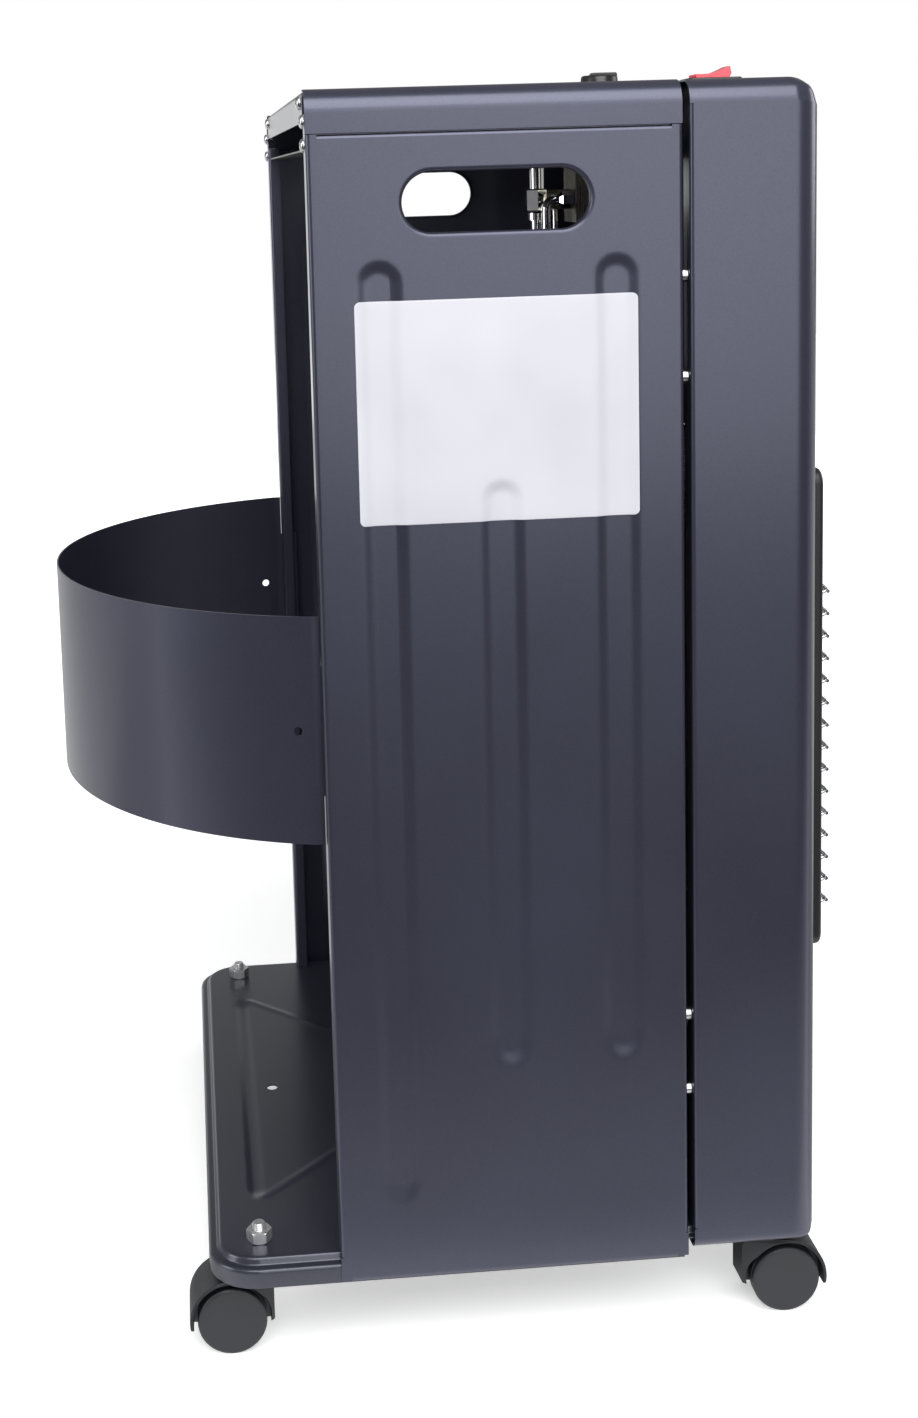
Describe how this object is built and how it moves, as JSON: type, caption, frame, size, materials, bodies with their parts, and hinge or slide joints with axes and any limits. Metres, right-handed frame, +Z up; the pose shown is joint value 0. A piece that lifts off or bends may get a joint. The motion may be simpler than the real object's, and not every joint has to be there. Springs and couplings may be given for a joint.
{
  "type": "portable gas cabinet heater",
  "caption": "Pressed steel cabinet heater on swivel casters, with a radiant burner behind a chrome guard and an open rear bay that holds a gas bottle.",
  "frame": {"origin": "on the floor, under the middle of the object's outline, from the guard's front to the bottle band's rear", "axes": "+Z up, the guard faces -Y and the open rear bay faces +Y, +X is the side with the gas knob"},
  "size_m": [0.42, 0.4506, 0.7369],
  "materials": {
    "graphite_enamel": "satin metallic powder coat",
    "black_enamel": "satin",
    "galvanised_steel": "matt",
    "chrome_wire": "polished",
    "bright_reflector": "bright annealed",
    "cast_alloy": "as cast",
    "burner_ceramic": "matt, perforated",
    "white_ceramic": "matt",
    "quartz_glass": "frosted",
    "valve_brass": "machined",
    "zinc_plate": "bright zinc plated",
    "caster_plastic": "satin moulded",
    "black_plastic": "satin moulded",
    "red_plastic": "translucent, gloss"
  },
  "bodies": {
    "cabinet": {"left_side_panel": "graphite_enamel", "right_side_panel": "graphite_enamel", "top_cover": "graphite_enamel", "front_casing": "graphite_enamel", "base_tray": "graphite_enamel", "bottle_band": "graphite_enamel", "heat_shield": "galvanised_steel", "top_baffle": "black_enamel", "cable_gland": "black_plastic", "guard_bezel": "black_enamel", "guard_grille": "chrome_wire", "reflector": "bright_reflector", "burner_body": "cast_alloy", "left_burner_plaque": "burner_ceramic", "middle_burner_plaque": "burner_ceramic", "right_burner_plaque": "burner_ceramic", "lower_quartz_tube": "quartz_glass", "upper_quartz_tube": "quartz_glass", "left_tube_holder": "white_ceramic", "right_tube_holder": "white_ceramic", "gas_valve": "valve_brass", "inlet_pipe": "chrome_wire", "burner_pipe": "chrome_wire", "pilot_pipe": "chrome_wire", "pilot_burner": "zinc_plate", "spark_electrode": "white_ceramic", "switch_housing": "black_plastic", "left_cover_screw": "zinc_plate", "left_upper_corner_screw": "zinc_plate", "left_lower_corner_screw": "zinc_plate", "right_cover_screw": "zinc_plate", "right_upper_corner_screw": "zinc_plate", "right_lower_corner_screw": "zinc_plate", "rear_left_caster_stem": "zinc_plate", "rear_left_caster_nut": "zinc_plate", "rear_right_caster_stem": "zinc_plate", "rear_right_caster_nut": "zinc_plate", "front_left_caster_stem": "zinc_plate", "front_left_caster_nut": "zinc_plate", "front_right_caster_stem": "zinc_plate", "front_right_caster_nut": "zinc_plate"},
    "spindle": {"valve_spindle": "zinc_plate"},
    "knob": {"control_knob": "black_plastic"},
    "rocker": {"switch_rocker": "red_plastic"},
    "rear_left_caster": {"rear_left_caster_hood": "caster_plastic", "rear_left_caster_axle": "zinc_plate"},
    "rear_left_outer_wheel": {"rear_left_outer_wheel": "caster_plastic"},
    "rear_left_inner_wheel": {"rear_left_inner_wheel": "caster_plastic"},
    "rear_right_caster": {"rear_right_caster_hood": "caster_plastic", "rear_right_caster_axle": "zinc_plate"},
    "rear_right_outer_wheel": {"rear_right_outer_wheel": "caster_plastic"},
    "rear_right_inner_wheel": {"rear_right_inner_wheel": "caster_plastic"},
    "front_left_caster": {"front_left_caster_hood": "caster_plastic", "front_left_caster_axle": "zinc_plate"},
    "front_left_outer_wheel": {"front_left_outer_wheel": "caster_plastic"},
    "front_left_inner_wheel": {"front_left_inner_wheel": "caster_plastic"},
    "front_right_caster": {"front_right_caster_hood": "caster_plastic", "front_right_caster_axle": "zinc_plate"},
    "front_right_outer_wheel": {"front_right_outer_wheel": "caster_plastic"},
    "front_right_inner_wheel": {"front_right_inner_wheel": "caster_plastic"}
  },
  "joints": [
    {"name": "knob_turn", "type": "hinge", "parent": "cabinet", "child": "spindle", "pos_m": [0.119, -0.1602, 0.7132], "axis": [0, 0, 1], "range_deg": [0, 210]},
    {"name": "knob_push", "type": "slide", "parent": "spindle", "child": "knob", "axis": [0, 0, -1], "range_m": [0, 0.004], "stiffness_N_per_m": 800, "springref_m": -0.002},
    {"name": "rocker_tilt", "type": "hinge", "parent": "cabinet", "child": "rocker", "pos_m": [-0.16, -0.1602, 0.718], "axis": [1, 0, 0], "range_deg": [0, 24]},
    {"name": "rear_left_swivel", "type": "hinge", "parent": "cabinet", "child": "rear_left_caster", "pos_m": [-0.183, 0.1158, 0.03], "axis": [0, 0, 1], "continuous": true},
    {"name": "rear_left_outer_roll", "type": "hinge", "parent": "rear_left_caster", "child": "rear_left_outer_wheel", "pos_m": [-0.183, 0.1333, 0.02], "axis": [1, 0, 0], "continuous": true},
    {"name": "rear_left_inner_roll", "type": "hinge", "parent": "rear_left_caster", "child": "rear_left_inner_wheel", "pos_m": [-0.183, 0.1333, 0.02], "axis": [1, 0, 0], "continuous": true},
    {"name": "rear_right_swivel", "type": "hinge", "parent": "cabinet", "child": "rear_right_caster", "pos_m": [0.183, 0.1158, 0.03], "axis": [0, 0, 1], "continuous": true},
    {"name": "rear_right_outer_roll", "type": "hinge", "parent": "rear_right_caster", "child": "rear_right_outer_wheel", "pos_m": [0.183, 0.0983, 0.02], "axis": [1, 0, 0], "continuous": true},
    {"name": "rear_right_inner_roll", "type": "hinge", "parent": "rear_right_caster", "child": "rear_right_inner_wheel", "pos_m": [0.183, 0.0983, 0.02], "axis": [1, 0, 0], "continuous": true},
    {"name": "front_left_swivel", "type": "hinge", "parent": "cabinet", "child": "front_left_caster", "pos_m": [-0.183, -0.1747, 0.03], "axis": [0, 0, 1], "continuous": true},
    {"name": "front_left_outer_roll", "type": "hinge", "parent": "front_left_caster", "child": "front_left_outer_wheel", "pos_m": [-0.183, -0.1922, 0.02], "axis": [1, 0, 0], "continuous": true},
    {"name": "front_left_inner_roll", "type": "hinge", "parent": "front_left_caster", "child": "front_left_inner_wheel", "pos_m": [-0.183, -0.1922, 0.02], "axis": [1, 0, 0], "continuous": true},
    {"name": "front_right_swivel", "type": "hinge", "parent": "cabinet", "child": "front_right_caster", "pos_m": [0.183, -0.1747, 0.03], "axis": [0, 0, 1], "continuous": true},
    {"name": "front_right_outer_roll", "type": "hinge", "parent": "front_right_caster", "child": "front_right_outer_wheel", "pos_m": [0.183, -0.1922, 0.02], "axis": [1, 0, 0], "continuous": true},
    {"name": "front_right_inner_roll", "type": "hinge", "parent": "front_right_caster", "child": "front_right_inner_wheel", "pos_m": [0.183, -0.1922, 0.02], "axis": [1, 0, 0], "continuous": true}
  ]
}
